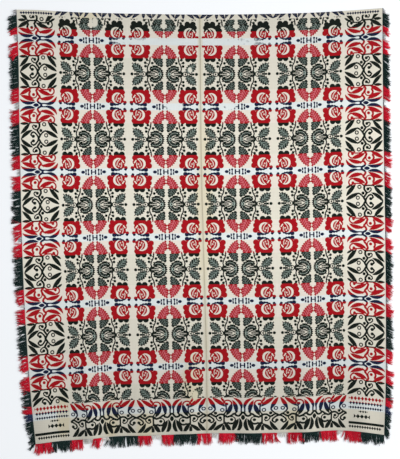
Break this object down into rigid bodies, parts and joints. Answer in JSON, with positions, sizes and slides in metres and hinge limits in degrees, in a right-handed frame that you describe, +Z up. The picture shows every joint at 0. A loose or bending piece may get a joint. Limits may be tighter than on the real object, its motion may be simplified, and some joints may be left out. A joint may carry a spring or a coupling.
{
  "type": "coverlet",
  "caption": "Woven bed coverlet of two panels seamed at the centre, laid flat, with fringe down both sides and along the foot.",
  "frame": {"origin": "on the floor, under the middle of the coverlet's bounding box, fringes included", "axes": "+Z up out of the face, +Y to the head edge, +X to the right as seen from above"},
  "size_m": [2.0354, 2.32, 0.0138],
  "materials": {
    "woven_cloth": "matt double weave of natural cotton with red, dark green-black and navy wool",
    "fringe_yarn": "matt loose wool yarn in red, dark blue-green and navy bands",
    "sewing_thread": "matt linen thread"
  },
  "bodies": {
    "root": {"panel_left": "woven_cloth", "panel_right": "woven_cloth", "fringe_left": "fringe_yarn", "fringe_right": "fringe_yarn", "fringe_foot": "fringe_yarn"}
  },
  "joints": []
}
